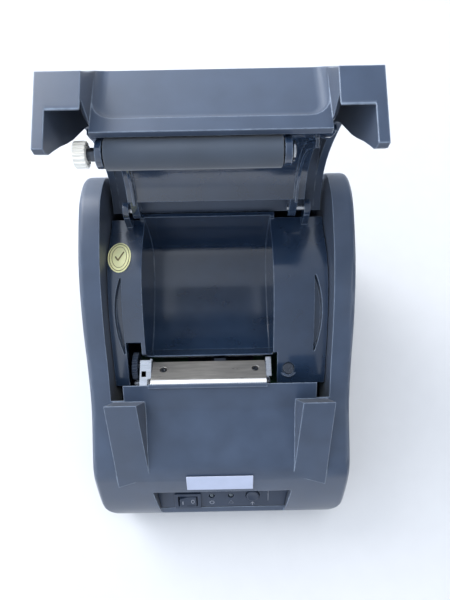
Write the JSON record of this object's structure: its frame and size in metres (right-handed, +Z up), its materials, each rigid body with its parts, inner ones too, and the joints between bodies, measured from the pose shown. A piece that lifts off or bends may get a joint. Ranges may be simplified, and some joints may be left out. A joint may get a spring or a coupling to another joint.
{
  "type": "receipt printer",
  "caption": "Desktop thermal receipt printer with an arched lid turned back over an empty paper bucket, platen roller on the lid and tear edge in front.",
  "frame": {"origin": "under the middle of the whole box at rest, lid open, on the surface the feet stand on", "axes": "+Z up, -Y out of the front with the control panel, +X to the right seen from the front"},
  "size_m": [0.128, 0.1744, 0.1909],
  "materials": {
    "casing_plastic": "fine spark-eroded texture, satin",
    "tray_plastic": "polished moulding",
    "black_plastic": "satin moulding",
    "rubber": "ground roller rubber",
    "foot_rubber": "moulded rubber",
    "steel": "nickel-plated sheet and pins",
    "dark_steel": "blackened steel",
    "head_metal": "dull rolled sheet",
    "motor_metal": "plated can",
    "ceramic": "glazed substrate",
    "gear_plastic": "natural acetal",
    "label": "blank label",
    "sticker": "pale yellow sticker with a thin ring",
    "board": "solder mask",
    "ribbon": "polyimide ribbon",
    "lens": "light pipe"
  },
  "bodies": {
    "root": {"upper_casing": "casing_plastic", "tear_bar": "casing_plastic", "base_tray": "black_plastic", "foot_front_left": "foot_rubber", "foot_front_right": "foot_rubber", "foot_rear_left": "foot_rubber", "foot_rear_right": "foot_rubber", "inner_tray": "tray_plastic", "tray_screw": "dark_steel", "hinge_pin_left": "steel", "hinge_pin_right": "steel", "mechanism_frame": "steel", "head_spring_left": "steel", "head_spring_right": "steel", "idler_axle": "steel", "stepper_motor": "motor_metal", "paper_sensor": "black_plastic", "main_board": "board", "board_chips": "black_plastic", "dc_jack": "black_plastic", "usb_port": "black_plastic", "drawer_port": "black_plastic", "head_ribbon": "ribbon", "control_panel": "black_plastic", "rocker_housing": "black_plastic", "power_led": "lens", "error_led": "lens", "panel_board": "board", "feed_switch": "black_plastic", "label_plate": "label", "check_sticker": "sticker"},
    "lid": {"lid_cover": "casing_plastic", "lid_inner_frame": "tray_plastic", "lid_screw_left": "steel", "lid_screw_right": "steel"},
    "platen": {"platen_shaft": "dark_steel", "platen_rubber": "rubber", "platen_gear": "gear_plastic", "platen_clip": "steel"},
    "idler": {"idler_gear": "black_plastic"},
    "motor_rotor": {"motor_pinion": "steel"},
    "print_head": {"print_head_plate": "head_metal", "print_head_ceramic": "ceramic", "head_screw_left": "dark_steel", "head_screw_right": "dark_steel"},
    "rocker": {"power_rocker": "black_plastic"},
    "feed_key": {"feed_button": "black_plastic"}
  },
  "joints": [
    {"name": "lid_hinge", "type": "hinge", "parent": "root", "child": "lid", "pos_m": [0, 0.06114, 0.098], "axis": [1, 0, 0], "range_deg": [0, 95]},
    {"name": "platen_spin", "type": "hinge", "parent": "lid", "child": "platen", "pos_m": [0, 0.04495, 0.17219], "axis": [1, 0, 0], "continuous": true},
    {"name": "idler_spin", "type": "hinge", "parent": "root", "child": "idler", "pos_m": [0, -0.01066, 0.0638], "axis": [1, 0, 0], "continuous": true},
    {"name": "motor_spin", "type": "hinge", "parent": "root", "child": "motor_rotor", "pos_m": [0, -0.01886, 0.0568], "axis": [1, 0, 0], "continuous": true},
    {"name": "head_tilt", "type": "hinge", "parent": "root", "child": "print_head", "pos_m": [0, -0.00996, 0.066], "axis": [1, 0, 0], "range_deg": [0, 2], "stiffness_Nm_per_rad": 0.05, "springref_deg": -5.73},
    {"name": "power_rocker_tip", "type": "hinge", "parent": "root", "child": "rocker", "pos_m": [-0.0186, -0.08015, 0.03714], "axis": [0, 0.788, 0.6157], "range_deg": [-18, 0]},
    {"name": "feed_button_press", "type": "slide", "parent": "root", "child": "feed_key", "axis": [0, 0.6157, -0.788], "range_m": [0, 0.0006], "stiffness_N_per_m": 300, "springref_m": -0.001}
  ],
  "couplings": [
    {"joint": "idler_spin", "follows": "motor_spin", "ratio": -0.46667}
  ]
}
